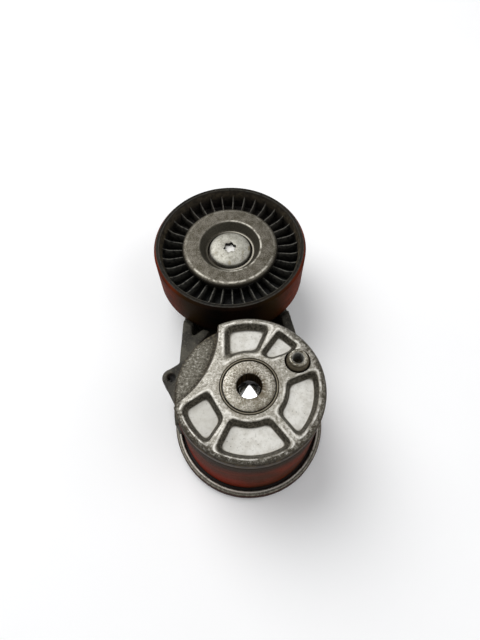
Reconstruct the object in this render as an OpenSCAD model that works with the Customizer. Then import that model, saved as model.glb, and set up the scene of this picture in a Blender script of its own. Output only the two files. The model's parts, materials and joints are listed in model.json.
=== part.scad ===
// Automatic belt tensioner with a smooth idler pulley on a sprung swinging arm.
// Origin: centre of the mounting face, on the pivot axis. +Z runs along the pivot towards
// the front plate. +Y points roughly at the pulley. Millimetres throughout.

/* [Pivot] */
// Diameter of the through bore for the mounting bolt
bore_d = 10.5; // [10.2:0.1:11]
// Running diameter of the pivot tube
tube_d = 18; // [17:0.5:19]
// Diameter of the tube's flanged front end
tube_flange_d = 21.6; // [21:0.1:22]
// Diameter of the recess at the tube's rear end
recess_d = 14.4; // [13:0.2:15]
// Depth of the recess at the tube's rear end
recess_depth = 12; // [8:0.5:14]
// Radial running clearance of the pivot bushings
bush_clearance = 0.05; // [0.02:0.01:0.1]

/* [Base dish] */
// Outer diameter of the base dish
base_d = 72; // [70:0.5:76]
// Height of the dish's raised lip
base_lip_h = 4.8; // [4.2:0.2:6]
// Thickness of the dish's floor
base_floor = 3; // [2.6:0.1:3.4]

/* [Front plate] */
// Diameter of the front plate
plate_d = 62.6; // [62:0.2:63]
// Height of the plate's face above the mounting face
plate_top = 54; // [54:0.5:58]
// Thickness of the front plate
plate_thk = 6.4; // [6:0.2:6.8]
// Depth of the lightening pockets
pocket_depth = 3.2; // [2:0.2:3.6]

/* [Arm] */
// Distance from the pivot axis to the pulley axis
arm_len = 78.44; // [77:0.5:82]
// Direction of the pulley axis from the pivot axis, in degrees
arm_angle = 95.34; // [80:1:110]
// Drum diameter at its foot
drum_foot_d = 64; // [63:0.2:64.4]
// Wall thickness of the arm's flanks
flank_t = 5; // [3.5:0.5:6]
// Swing of the arm from its free stop, in degrees
arm_swing = 38; // [20:1:44]

/* [Pulley] */
// Diameter of the belt face
pulley_d = 76; // [74:0.5:78]
// Width of the belt face
pulley_w = 21.5; // [21:0.5:23]
// Ribs on each side of the web
rib_count = 35; // [24:1:40]
// Thickness of a rib
rib_t = 0.9; // [0.7:0.1:1.3]
// Outer diameter of the pressed dust cap
cap_d = 48.2; // [46:0.2:49]

/* [Bearing] */
// Bore of the ball bearing
bearing_bore = 17; // [17:0.5:17.5]
// Outside diameter of the ball bearing
bearing_od = 40; // [39:0.5:41]
// Width of the ball bearing
bearing_w = 12; // [11:0.5:12]
// Number of balls
ball_count = 8; // [6:1:9]

/* [Hidden] */
$fn = 96;
eps = 0.01;
through = 200;                            // longer than any part, for cutting tools

// Radii of the pivot stack
bore_r = bore_d / 2;
tube_r = tube_d / 2;
flange_r = tube_flange_d / 2;
flange_h = 3.2;
bushing_t = 2.15;
hub_bore_r = tube_r + bush_clearance + bushing_t;
hub_boss_r = hub_bore_r + 3.3;

// Heights of the stack, from the mounting face up
plate_bottom = plate_top - plate_thk;
roof_top = plate_bottom - 0.4;
roof_t = 4.5;
roof_bottom = roof_top - roof_t;
drum_foot = base_floor + 0.7;
base_boss_h = 8.2;
hub_boss_foot = base_boss_h + 0.4;

// Base dish
base_r = base_d / 2;
lip_t = 2.8;
lip_round = 0.9;
base_boss_r = 14;
relief_depth = 1;
relief_count = 6;
dowel_r = 2.5;
dowel_pcr = 25.8;

// Drum of the arm
drum_foot_r = drum_foot_d / 2;
drum_top_r = drum_foot_r - 0.8;
drum_inner_r = drum_foot_r - 3.4;
rebate_r = drum_inner_r + 1.6;
rebate_h = 2.4;
drum_round = 0.8;
washer_recess_r = 16.8;
washer_recess_depth = 2;
washer_recess_z = roof_top - washer_recess_depth;

// Front plate
plate_r = plate_d / 2;
plate_round = 1.3;
ring_seat_r = 12;
sleeve_pos = [20.3, 10.3];
sleeve_r = 3.9;
sleeve_bore_r = 2.1;
sleeve_gap_r = 5.3;
sleeve_gap_depth = 3;
sleeve_proud = 3.5;
scoop_centre = [-55, 26.8];
scoop_r = 42;

// Swing stop: a pin in the plate runs in an arc groove in the drum's roof
stop_r = 2;
stop_pcr = 23;
stop_angle = -51.25;
stop_engage = 3.2;
stop_seat = 2;
groove_r = stop_r + 0.3;
groove_floor = roof_top - stop_engage - 0.4;
groove_spare = 1;                         // degrees of overrun at each end

// Arm
arm_foot = 6;
arm_web_t = 4.5;
arm_top = 20.4;
arm_shoulder = 24;
hub_collar_r = 34;
channel_start_r = 34.6;
boss_end_r = 23;
pulley_boss_r = 13;
pulley_boss_top = 22;
arm_clear_r = 39.4;                       // the raised shoulder stays outside this radius
centre_rib_t = 3;
centre_rib_top = 16;
bolt_hole_r = 5;
ear_pos = [-36.5, 16];
ear_r = 4.4;
ear_root_r = ear_r - 0.25;
ear_hole_r = 2;
ear_foot = 12;
collar_r = 34.3;
waist = [24.6, 38.4];                     // where the right flank leaves the hub's flare

// Torsion spring
wire_r = 2.2;
coil_r = 21.5;
coil_turns = 5;
coil_steps = 24;
wire_sides = 10;
seat_top = 6.9;
coil_foot = seat_top + wire_r + 0.1;
upper_seat_t = 1.9;
coil_head = roof_bottom - upper_seat_t - wire_r - 0.5;
shoe_span = [150, 290];
shoe_z = [12, 36];

// Pulley
pulley_pos = arm_len * [cos(arm_angle), sin(arm_angle)];
pulley_foot = 22.3;
rim_rise = 1.5;                           // chamfered lip above the belt face
pulley_top = pulley_foot + pulley_w + rim_rise;
pulley_r = pulley_d / 2;
rim_t = 3;
rim_inner_r = pulley_r - rim_t;
rim_chamfer = 1.1;
rib_top = 39.8;
rib_phase = 4.2;
web_z = [31, 34];
web_hub_r = bearing_od / 2 + 2.6;
hub_z = [23.4, 38.5];

// Bearing
bearing_foot = 23.8;
bearing_top = bearing_foot + bearing_w;
bearing_mid = (bearing_foot + bearing_top) / 2;
bearing_bore_r = bearing_bore / 2;
bearing_r = bearing_od / 2;
inner_shoulder_r = bearing_bore_r + 3.2;
outer_shoulder_r = bearing_r - 3.2;
ball_r = 3.2;
race_r = ball_r + 0.2;
ball_pcr = (inner_shoulder_r + outer_shoulder_r) / 2;
outer_ring_inset = 0.3;
cage_r = [ball_pcr - 1.4, ball_pcr + 1.4];
cage_h = 8.4;
cage_pocket_r = ball_r + 0.15;
seal_t = 0.8;
seal_inset = 0.5;

// Pulley fastening
shield_t = 0.6;
spacer_flange_r = 11;
cap_t = 1.4;
cap_well_r = 11.2;
cap_lip_w = 1;
cap_lip_drop = 4.3;
cap_recess_r = 15.2;
cap_r = cap_d / 2;
cap_round = 1.8;
cap_edge_h = 2.2;
cap_top = pulley_top - 1.6;
cap_seat_top = bearing_top + cap_t;
head_r = 10.3;
head_edge_h = 3;
head_crown = 2;
bolt_r = 4.95;
bolt_end = arm_foot + 1;
drive_r = 3.15;
drive_lobes = 6;
drive_lobe_r = 0.7;
drive_core_r = 2.4;
drive_depth = 3;
drive_turn = 14;

// A flat ring between two radii and two heights
module ring(r_in, r_out, z0, z1) {
    translate([0, 0, z0]) difference() {
        cylinder(r = r_out, h = z1 - z0);
        translate([0, 0, -1]) cylinder(r = r_in, h = z1 - z0 + 2);
    }
}

// Points along an arc about a centre, both ends included
function arc_points(centre, r, a0, a1, steps = 24) = [
    for (i = [0:steps]) let (a = a0 + (a1 - a0) * i / steps) centre + r * [cos(a), sin(a)]
];

// A part of the plane between two directions less than 180 degrees apart
module wedge(a0, a1, reach = 60) {
    polygon([
        [0, 0],
        for (i = [0:4]) reach * [cos(a0 + (a1 - a0) * i / 4), sin(a0 + (a1 - a0) * i / 4)]
    ]);
}

module annulus(r_in, r_out) {
    difference() {
        circle(r = r_out);
        circle(r = r_in);
    }
}

module sector(r_in, r_out, a0, a1) {
    intersection() {
        annulus(r_in, r_out);
        wedge(a0, a1);
    }
}

// Everything at the pulley axis is drawn about its own axis and moved here
module at_pulley() {
    translate([pulley_pos.x, pulley_pos.y, 0]) children();
}

// ---------------------------------------------------------------- fixed body

module base_dish() {
    color([0.42, 0.40, 0.36]) difference() {
        union() {
            rotate_extrude() {
                square([base_r, base_floor]);
                square([base_boss_r, base_boss_h]);
                translate([base_r - lip_t, 0]) square([lip_t, base_lip_h - lip_round]);
                translate([base_r - lip_t + lip_round, 0])
                    square([lip_t - 2 * lip_round, base_lip_h]);
                for (r = [base_r - lip_t + lip_round, base_r - lip_round])
                    translate([r, base_lip_h - lip_round]) circle(r = lip_round);
            }
        }
        translate([0, 0, -1]) cylinder(r = tube_r, h = base_boss_h + 2);
        for (i = [0:relief_count - 1]) rotate(-60 + i * 360 / relief_count)
            translate([0, 0, -1]) linear_extrude(relief_depth + 1)
                sector(17, 31, -22, 22);
        translate([0, -dowel_pcr, -1]) cylinder(r = dowel_r, h = base_floor + 2);
    }
}

module pivot_tube() {
    color([0.72, 0.70, 0.66]) difference() {
        union() {
            cylinder(r = tube_r, h = plate_top);
            translate([0, 0, plate_top - flange_h]) cylinder(r = flange_r, h = flange_h);
        }
        translate([0, 0, -1]) cylinder(r = bore_r, h = plate_top + 2);
        translate([0, 0, -1]) cylinder(r = recess_d / 2, h = recess_depth + 1);
    }
}

// The five lightening pockets, as outlines on the plate's face
module pocket_outlines() {
    intersection() {
        annulus(14.5, 27.5);
        polygon([[-9, 10], [-9, 30], [9.7, 30], [3.4, 10]]);
    }
    polygon([[6.9, 14.4], [13.5, 23], [20.5, 17.9], [18.1, 15.2], [14, 13.6], [10, 12.5]]);
    sector(15.2, 28, -45, 7);
    sector(15.2, 28.2, -118.5, -57.5);
    intersection() {
        annulus(16.4, 28.3);
        polygon([[0, 0], [-10, 2.5], [-17.5, -1.5], [-34.2, -11.5], [-30, -40], [-18, -23.9]]);
    }
}

module front_plate() {
    color([0.77, 0.75, 0.72]) difference() {
        rotate_extrude() translate([0, plate_bottom]) {
            square([plate_r, plate_thk - plate_round]);
            square([plate_r - plate_round, plate_thk]);
            translate([plate_r - plate_round, plate_thk - plate_round])
                circle(r = plate_round);
        }
        translate([0, 0, plate_bottom - 1]) cylinder(r = tube_r, h = plate_thk + 2);
        translate([0, 0, plate_top - flange_h]) cylinder(r = ring_seat_r, h = flange_h + 1);
        translate([0, 0, plate_top - pocket_depth])
            linear_extrude(pocket_depth + 1) pocket_outlines();
        translate([sleeve_pos.x, sleeve_pos.y, plate_bottom - 1])
            cylinder(r = sleeve_r, h = plate_thk + 2);
        translate([sleeve_pos.x, sleeve_pos.y, plate_top - sleeve_gap_depth])
            cylinder(r = sleeve_gap_r, h = sleeve_gap_depth + 1);
        rotate(stop_angle) translate([stop_pcr, 0, plate_bottom - 1])
            cylinder(r = stop_r, h = stop_seat + 1);
        translate([scoop_centre.x, scoop_centre.y, plate_bottom - 1])
            cylinder(r = scoop_r, h = plate_thk + 2);
    }
}

module swage_ring() {
    color([0.66, 0.64, 0.60])
        ring(flange_r + 0.4, ring_seat_r, plate_top - flange_h, plate_top);
}

module threaded_sleeve() {
    color([0.55, 0.53, 0.49]) translate([sleeve_pos.x, sleeve_pos.y, 0])
        ring(sleeve_bore_r, sleeve_r, plate_bottom, plate_top + sleeve_proud);
}

module stop_pin() {
    color([0.6, 0.6, 0.6]) rotate(stop_angle)
        translate([stop_pcr, 0, plate_bottom - stop_engage - 0.4])
            cylinder(r = stop_r, h = stop_engage + 0.4 + stop_seat);
}

// Coned spring washer that loads the friction washer
module wave_washer() {
    z = washer_recess_z + 1.4;
    top = plate_bottom - 0.05;
    color([0.45, 0.47, 0.5]) rotate_extrude() polygon([
        [tube_r + 0.3, top - 0.55],
        [tube_r + 0.3, top],
        [tube_r + 1.5, top],
        [washer_recess_r - 0.6, z + 0.6],
        [washer_recess_r - 0.6, z],
        [washer_recess_r - 1.2, z]
    ]);
}

// Closed ring of wire sections swept along the helix
module torsion_spring() {
    rings = coil_turns * coil_steps;
    rise = (coil_head - coil_foot) / rings;
    points = [
        for (i = [0:rings], j = [0:wire_sides - 1])
            let (a = i * 360 / coil_steps, b = j * 360 / wire_sides, r = coil_r + wire_r * cos(b))
                [r * cos(a), r * sin(a), coil_foot + i * rise + wire_r * sin(b)]
    ];
    sides = [
        for (i = [0:rings - 1], j = [0:wire_sides - 1])
            let (k = (j + 1) % wire_sides, p = i * wire_sides, q = p + wire_sides)
                [p + j, q + j, q + k, p + k]
    ];
    ends = [
        [for (j = [0:wire_sides - 1]) j],
        [for (j = [0:wire_sides - 1]) rings * wire_sides + wire_sides - 1 - j]
    ];
    color([0.35, 0.36, 0.38]) polyhedron(points, concat(sides, ends));
}

module lower_spring_seat() {
    color([0.15, 0.15, 0.15]) ring(17.5, 23.2, base_floor, seat_top);
}

module damping_shoe() {
    middle = (shoe_span[0] + shoe_span[1]) / 2;
    color([0.22, 0.2, 0.16]) translate([0, 0, shoe_z[0]])
        linear_extrude(shoe_z[1] - shoe_z[0])
            for (a = [shoe_span[0], middle])
                sector(coil_r + wire_r + 0.3, drum_inner_r - 0.3, a, a + middle - shoe_span[0]);
}

module dust_seal() {
    color([0.08, 0.08, 0.08])
        ring(drum_inner_r, rebate_r - 0.4, base_floor, drum_foot + rebate_h - 0.4);
}

// ---------------------------------------------------------------- swinging body

// Outline of two circles, on the pivot and the pulley axis, with their common tangents,
// drawn in at the right flank's waist. The pivot's end stops at the tangents' feet,
// because the drum covers it. The inset moves the whole outline inwards.
module link_outline(inset) {
    r_hub = hub_collar_r - inset;
    r_end = boss_end_r - inset;
    open = acos((r_hub - r_end) / arm_len);
    polygon(concat(
        [[0, 0], r_hub * [cos(arm_angle - open), sin(arm_angle - open)]],
        [waist - [inset, 0]],
        arc_points(pulley_pos, r_end, arm_angle - open, arm_angle + open),
        [r_hub * [cos(arm_angle + open), sin(arm_angle + open)]]
    ));
}

// Closed outline of the drum casting: foot wall, roof and central boss
module drum_solid() {
    rotate_extrude() {
        polygon([
            [0, drum_foot],
            [drum_foot_r, drum_foot],
            [drum_top_r, roof_top - drum_round],
            [drum_top_r - drum_round, roof_top],
            [0, roof_top]
        ]);
    }
}

module drum_hollow() {
    rotate_extrude() {
        translate([hub_boss_r, 0])
            square([drum_inner_r - hub_boss_r, roof_bottom]);
        square([hub_boss_r + eps, hub_boss_foot]);
        square([rebate_r, drum_foot + rebate_h]);
    }
    cylinder(r = hub_bore_r, h = plate_top);
    translate([0, 0, washer_recess_z]) cylinder(r = washer_recess_r, h = plate_thk);
}

// Arc groove with round ends in the drum's roof for the swing stop
module stop_groove() {
    a0 = stop_angle - arm_swing - groove_spare;
    a1 = stop_angle + groove_spare;
    translate([0, 0, groove_floor]) linear_extrude(plate_thk) polygon(concat(
        arc_points([0, 0], stop_pcr + groove_r, a0, a1),
        arc_points(stop_pcr * [cos(a1), sin(a1)], groove_r, a1 + 15, a1 + 165, 8),
        arc_points([0, 0], stop_pcr - groove_r, a1, a0),
        arc_points(stop_pcr * [cos(a0), sin(a0)], groove_r, a0 + 195, a0 + 345, 8)
    ));
}

// U-channel between the drum and the pulley boss, higher where it is clear of the pulley
module arm_channel() {
    difference() {
        union() {
            translate([0, 0, arm_foot]) linear_extrude(arm_top - arm_foot)
                link_outline(0);
            translate([0, 0, arm_foot]) linear_extrude(arm_shoulder - arm_foot) difference() {
                link_outline(0);
                translate(pulley_pos) circle(r = arm_clear_r);
            }
        }
        translate([0, 0, arm_foot + arm_web_t]) linear_extrude(arm_shoulder) difference() {
            link_outline(flank_t);
            circle(r = channel_start_r);
            translate(pulley_pos) circle(r = pulley_boss_r - 1);
        }
    }
    at_pulley() translate([0, 0, arm_foot - 2])
        cylinder(r = pulley_boss_r, h = pulley_boss_top - arm_foot + 2);
    rotate(arm_angle) translate([drum_foot_r - 1, -centre_rib_t / 2, arm_foot + 1])
        cube([arm_len - drum_foot_r - pulley_boss_r + 2, centre_rib_t,
            centre_rib_top - arm_foot - 1]);
}

// Lug with the hole for the locking pin
module arm_ear() {
    translate([0, 0, ear_foot]) linear_extrude(arm_shoulder - ear_foot) {
        translate(ear_pos) circle(r = ear_r);
        polygon([
            [-26, 26], [-31.4, 24.2], ear_pos + ear_root_r * [cos(125), sin(125)],
            ear_pos + ear_root_r * [cos(205), sin(205)], [-36.4, 6.8], [-33, 0], [-26, 0]
        ]);
    }
}

// Solid shoulder between the drum and the left flank, with a slanting rib that stops
// clear of the pulley
module arm_gusset() {
    translate([0, 0, arm_foot]) linear_extrude(arm_shoulder - arm_foot) {
        sector(drum_inner_r + 1, collar_r, 60, 192);
        difference() {
            polygon([
                [-29, 12], [-29, 39.8], [-26.1, 38], [-21, 42], [-17.8, 40.8], [-23, 33.2],
                [-23.6, 22]
            ]);
            translate(pulley_pos) circle(r = arm_clear_r);
            circle(r = drum_inner_r + 1.5);
        }
    }
}

module arm() {
    color([0.27, 0.26, 0.22]) difference() {
        union() {
            drum_solid();
            arm_channel();
            arm_ear();
            arm_gusset();
        }
        drum_hollow();
        stop_groove();
        at_pulley() cylinder(r = bolt_hole_r, h = through);
        translate([ear_pos.x, ear_pos.y, 0]) cylinder(r = ear_hole_r, h = through);
    }
}

module pivot_bushing(z0, z1) {
    color([0.75, 0.72, 0.6]) ring(tube_r + bush_clearance, hub_bore_r, z0, z1);
}

module upper_bushing() {
    pivot_bushing(washer_recess_z - 15, washer_recess_z - 0.1);
}

module lower_bushing() {
    pivot_bushing(hub_boss_foot, hub_boss_foot + 15);
}

module friction_washer() {
    color([0.2, 0.2, 0.2])
        ring(tube_r + 0.5, washer_recess_r - 0.2, washer_recess_z, washer_recess_z + 1.2);
}

module upper_spring_seat() {
    color([0.15, 0.15, 0.15]) ring(17, 26, roof_bottom - upper_seat_t, roof_bottom);
}

module pulley_spacer() {
    color([0.5, 0.5, 0.5]) at_pulley() difference() {
        union() {
            translate([0, 0, pulley_boss_top])
                cylinder(r = bearing_bore_r, h = bearing_top - pulley_boss_top);
            translate([0, 0, pulley_boss_top])
                cylinder(r = spacer_flange_r, h = bearing_foot - shield_t - pulley_boss_top);
        }
        cylinder(r = bolt_hole_r, h = through);
    }
}

module rear_shield() {
    r1 = spacer_flange_r + 0.4;
    r2 = r1 + 1.2;
    r3 = bearing_r - 0.6;
    z1 = bearing_foot;
    z2 = bearing_foot - 0.7;
    color([0.45, 0.44, 0.42]) at_pulley() rotate_extrude() polygon([
        [bearing_bore_r, z1 - shield_t], [r1, z1 - shield_t], [r2, z2 - shield_t],
        [r3, z2 - shield_t], [r3, z2], [r2, z2], [r1, z1], [bearing_bore_r, z1]
    ]);
}

module bearing_inner_ring() {
    color([0.8, 0.8, 0.82]) at_pulley() difference() {
        ring(bearing_bore_r, inner_shoulder_r, bearing_foot, bearing_top);
        translate([0, 0, bearing_mid])
            rotate_extrude() translate([ball_pcr, 0]) circle(r = race_r, $fn = 48);
    }
}

// Pressed steel cap: clamped well, sloping recess, flat annulus and turned-down edge
module dust_cap() {
    color([0.49, 0.47, 0.42]) at_pulley() rotate_extrude() {
        lip_z = cap_top - cap_lip_drop;
        polygon([
            [bolt_hole_r + 0.2, bearing_top], [cap_well_r + cap_t, bearing_top],
            [cap_well_r + cap_t, lip_z - cap_t], [cap_recess_r + 0.8, cap_top - cap_t],
            [cap_r - cap_round, cap_top - cap_t], [cap_r - cap_round, cap_top],
            [cap_recess_r, cap_top], [cap_well_r + cap_lip_w, lip_z], [cap_well_r, lip_z],
            [cap_well_r, cap_seat_top], [bolt_hole_r + 0.2, cap_seat_top]
        ]);
        intersection() {
            translate([cap_r - cap_round, cap_top - cap_round])
                annulus(cap_round - cap_t + 0.2, cap_round);
            translate([cap_r - cap_round - eps, cap_top - cap_round])
                square([cap_round + 1, cap_round + 1]);
        }
        translate([cap_r - cap_t + 0.2, cap_top - cap_edge_h])
            square([cap_t - 0.2, cap_edge_h - cap_round + eps]);
    }
}

// Six-lobed drive recess
module drive_outline() {
    circle(r = drive_core_r);
    for (i = [0:drive_lobes - 1]) rotate(i * 360 / drive_lobes)
        translate([drive_r - drive_lobe_r, 0]) circle(r = drive_lobe_r, $fn = 24);
}

module pulley_bolt() {
    edge_z = cap_seat_top + head_edge_h;
    head_top = edge_z + head_crown;
    color([0.7, 0.69, 0.65]) at_pulley() difference() {
        union() {
            translate([0, 0, bolt_end]) cylinder(r = bolt_r, h = cap_seat_top - bolt_end + eps);
            rotate_extrude() polygon([
                [0, cap_seat_top], [head_r, cap_seat_top], [head_r, edge_z],
                [0.94 * head_r, edge_z + 0.4 * head_crown],
                [0.78 * head_r, edge_z + 0.8 * head_crown],
                [0.55 * head_r, head_top], [0, head_top]
            ]);
        }
        translate([0, 0, head_top - drive_depth]) linear_extrude(drive_depth + 1)
            rotate(drive_turn) drive_outline();
    }
}

// ---------------------------------------------------------------- bearing cage body

module bearing_balls() {
    color([0.85, 0.85, 0.88]) at_pulley() for (i = [0:ball_count - 1])
        rotate(i * 360 / ball_count) translate([ball_pcr, 0, bearing_mid])
            sphere(r = ball_r, $fn = 48);
}

module bearing_cage() {
    color([0.6, 0.45, 0.2]) at_pulley() difference() {
        ring(cage_r[0], cage_r[1], bearing_mid - cage_h / 2, bearing_mid + cage_h / 2);
        for (i = [0:ball_count - 1]) rotate(i * 360 / ball_count)
            translate([cage_r[0] - 1, 0, bearing_mid]) rotate([0, 90, 0])
                cylinder(r = cage_pocket_r, h = cage_r[1] - cage_r[0] + 2);
    }
}

// ---------------------------------------------------------------- pulley body

// One radial rib: a thin plate whose free edge climbs near the rim
module pulley_rib(z_web, z_hub, z_dip, z_rim) {
    r0 = web_hub_r - 0.6;
    rotate([90, 0, 0]) translate([0, 0, -rib_t / 2]) linear_extrude(rib_t) polygon([
        [r0, z_web], [r0, z_hub], [r0 + 1.5, z_dip], [rim_inner_r - 4, z_dip],
        [rim_inner_r - 1.2, z_dip + 0.4 * (z_rim - z_dip)],
        [rim_inner_r + 0.6, z_rim], [rim_inner_r + 0.6, z_web]
    ]);
}

module pulley() {
    color([0.12, 0.12, 0.11]) at_pulley() {
        rotate_extrude() {
            polygon([
                [rim_inner_r, pulley_foot], [pulley_r - rim_chamfer / 2, pulley_foot],
                [pulley_r, pulley_foot + rim_chamfer / 2], [pulley_r, pulley_top - rim_rise],
                [pulley_r - rim_chamfer, pulley_top], [rim_inner_r, pulley_top]
            ]);
            translate([bearing_r, web_z[0]]) square([rim_inner_r - bearing_r, web_z[1] - web_z[0]]);
            translate([bearing_r, hub_z[0]])
                square([web_hub_r - bearing_r, hub_z[1] - hub_z[0]]);
        }
        for (i = [0:rib_count - 1]) rotate(rib_phase + i * 360 / rib_count) {
            pulley_rib(web_z[1] - eps, hub_z[1] - 0.5, rib_top, pulley_top - 1.2);
            pulley_rib(web_z[0] + eps, hub_z[0] + 0.5, pulley_foot + 5, pulley_foot + 1.2);
        }
    }
}

module bearing_outer_ring() {
    color([0.8, 0.8, 0.82]) at_pulley() difference() {
        ring(outer_shoulder_r, bearing_r, bearing_foot + outer_ring_inset,
            bearing_top - outer_ring_inset);
        translate([0, 0, bearing_mid])
            rotate_extrude() translate([ball_pcr, 0]) circle(r = race_r, $fn = 48);
    }
}

module bearing_seal(z) {
    color([0.1, 0.1, 0.1]) at_pulley()
        ring(inner_shoulder_r + 0.3, outer_shoulder_r, z, z + seal_t);
}

module front_seal() {
    bearing_seal(bearing_top - seal_inset - seal_t);
}

module rear_seal() {
    bearing_seal(bearing_foot + seal_inset);
}

base_dish();
pivot_tube();
front_plate();
swage_ring();
threaded_sleeve();
stop_pin();
wave_washer();
torsion_spring();
lower_spring_seat();
damping_shoe();
dust_seal();
arm();
upper_bushing();
lower_bushing();
friction_washer();
upper_spring_seat();
pulley_spacer();
rear_shield();
bearing_inner_ring();
dust_cap();
pulley_bolt();
bearing_cage();
bearing_balls();
pulley();
bearing_outer_ring();
front_seal();
rear_seal();
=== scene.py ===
"""Looks of the belt tensioner: detailed castings, pulley, cap and finishes on the CAD frame."""
import json
import math

import bpy
import numpy as np
from mathutils import Matrix, Vector


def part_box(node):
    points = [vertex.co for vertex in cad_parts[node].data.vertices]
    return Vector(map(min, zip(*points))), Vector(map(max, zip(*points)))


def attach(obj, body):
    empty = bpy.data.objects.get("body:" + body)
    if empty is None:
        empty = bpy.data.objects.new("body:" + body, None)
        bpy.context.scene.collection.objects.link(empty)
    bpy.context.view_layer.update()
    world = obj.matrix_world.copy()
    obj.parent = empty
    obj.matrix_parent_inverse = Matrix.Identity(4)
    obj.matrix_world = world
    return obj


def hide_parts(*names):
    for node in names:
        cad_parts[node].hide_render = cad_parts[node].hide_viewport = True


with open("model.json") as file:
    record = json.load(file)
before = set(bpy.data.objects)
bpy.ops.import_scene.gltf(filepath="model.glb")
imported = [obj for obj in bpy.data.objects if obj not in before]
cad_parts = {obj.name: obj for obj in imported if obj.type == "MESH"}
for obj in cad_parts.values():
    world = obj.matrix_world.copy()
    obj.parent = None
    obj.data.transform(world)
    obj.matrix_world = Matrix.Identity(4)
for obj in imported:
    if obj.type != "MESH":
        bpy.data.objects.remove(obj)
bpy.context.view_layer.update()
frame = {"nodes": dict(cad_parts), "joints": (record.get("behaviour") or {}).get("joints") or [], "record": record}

MM = 0.001
JOINTS = {j["name"]: j for j in frame["joints"]}
MOUNTS = {m["name"]: m for m in frame["record"]["mounts"]}
SLOTS = {s["node"]: s["material_slot"] for s in frame["record"]["subparts"]}
PULLEY = np.array(JOINTS["pulley_spin"]["pos_m"][:2]) / MM
SLEEVE = np.array(MOUNTS["sleeve_thread"]["pos_m"][:2]) / MM
SCOOP, SCOOP_RADIUS = (-55.0, 26.8), 42.0     # the arc cut out of the front plate's edge
NO_POCKET = 9.0                               # the front plate's mark beside its pocketed face

# Radii and heights of the part, in millimetres
BORE, FLANGE, SEAT = 5.25, 10.8, 12.0         # pivot tube, and the swage ring's seat round it
PLATE, PLATE_TOP = 31.3, 54.0                 # front plate
WELL, SLEEVE_BORE, SLEEVE_TOP = 5.35, 2.1, 57.5   # threaded sleeve and its well in the plate
DRUM, ROOF = 31.2, 47.2                       # the arm's drum, at its roof
LIP, DISH, LIP_TOP = 33.2, 36.0, 4.8          # inside, outside and top of the dish's lip
CAP_WELL, CAP_RECESS, CAP = 11.2, 15.2, 24.1  # dust cap
RIM, BELT = 35.0, 38.0                        # inner wall and belt face of the pulley


def span(node):
    """Lowest and highest corner of a CAD node in millimetres."""
    low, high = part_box(node)
    return np.array(low) / MM, np.array(high) / MM


# ---------------------------------------------------------------- shapes

def rounded(corners, steps=4):
    """Points of a closed profile, from corners (r, z) or (r, z, fillet radius)."""
    points = []
    count = len(corners)
    for i, corner in enumerate(corners):
        here = Vector(corner[:2])
        radius = corner[2] if len(corner) > 2 else 0
        if not radius:
            points.append(tuple(here))
            continue
        back = (Vector(corners[i - 1][:2]) - here).normalized()
        ahead = (Vector(corners[(i + 1) % count][:2]) - here).normalized()
        half = back.angle(ahead) / 2
        centre = here + (back + ahead).normalized() * radius / math.sin(half)
        first = here + back * radius / math.tan(half) - centre
        turn = math.copysign(math.pi - 2 * half, first.cross(ahead))
        for k in range(steps + 1):
            a = turn * k / steps
            spun = Vector((first.x * math.cos(a) - first.y * math.sin(a),
                           first.x * math.sin(a) + first.y * math.cos(a)))
            points.append(tuple(centre + spun))
    return points


class Shape:
    """Collects rings of points, in millimetres, into one mesh."""

    def __init__(self):
        self.points, self.faces, self.marks = [], [], []

    def add(self, points, mark=0.0):
        """Adds points with one mark, or one each, and gives their indices."""
        start = len(self.points)
        self.points += [tuple(p) for p in points]
        self.marks += list(mark) if hasattr(mark, "__len__") else [mark] * len(points)
        return list(range(start, start + len(points)))

    def bridge(self, one, two):
        """Quads between two rings, or a fan where one of them is a single point."""
        count = max(len(one), len(two))
        for i in range(count):
            j = (i + 1) % count
            if len(one) == 1:
                self.faces.append((one[0], two[j], two[i]))
            elif len(two) == 1:
                self.faces.append((one[i], one[j], two[0]))
            else:
                self.faces.append((one[i], one[j], two[j], two[i]))

    def rings(self, rings, marks=None, closed=True):
        """A skin over rings; closed joins the last ring to the first."""
        indices = [self.add(r, marks[k] if marks else 0.0) for k, r in enumerate(rings)]
        for one, two in zip(indices, indices[1:]):
            self.bridge(one, two)
        if closed:
            self.bridge(indices[-1], indices[0])
        return self

    def build(self, name, body, slot, *replaced, sharp=40):
        """One visible piece from the shape, standing for the CAD nodes it replaces."""
        mesh = bpy.data.meshes.new(name)
        mesh.from_pydata([Vector(p) * MM for p in self.points], [], self.faces)
        mark = mesh.attributes.new("mark", "FLOAT", "POINT")
        mark.data.foreach_set("value", np.array(self.marks, np.float32))
        obj = bpy.data.objects.new(name, mesh)
        bpy.context.scene.collection.objects.link(obj)
        return dress(obj, body, slot, *replaced, sharp=sharp)


def face_outwards(mesh):
    """Turns a closed mesh's faces outwards by the sign of its volume."""
    mesh.calc_loop_triangles()
    volume = 0.0
    for t in mesh.loop_triangles:
        a, b, c = (mesh.vertices[i].co for i in t.vertices)
        volume += a.dot(b.cross(c))
    if volume < 0:
        mesh.flip_normals()


def dress(obj, body, slot, *replaced, sharp=40):
    """Rides a finished piece on its body with its finish and smooth shading."""
    face_outwards(obj.data)
    obj.data.shade_smooth()
    obj.data.set_sharp_from_angle(angle=math.radians(sharp))
    obj.data.materials.clear()
    obj.data.materials.append(FINISHES[slot])
    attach(obj, body)
    if replaced:
        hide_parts(*replaced)
    return obj


def directions(count):
    """Evenly spaced angles of one full turn, in radians."""
    return np.arange(count) * 2 * math.pi / count


def ring_at(angles, reach, z, centre=(0, 0)):
    """Points round a vertical axis; reach and z are one number, or one for each angle."""
    reach, z = np.broadcast_to(reach, angles.shape), np.broadcast_to(z, angles.shape)
    return np.stack([centre[0] + reach * np.cos(angles), centre[1] + reach * np.sin(angles), z], 1)


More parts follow.
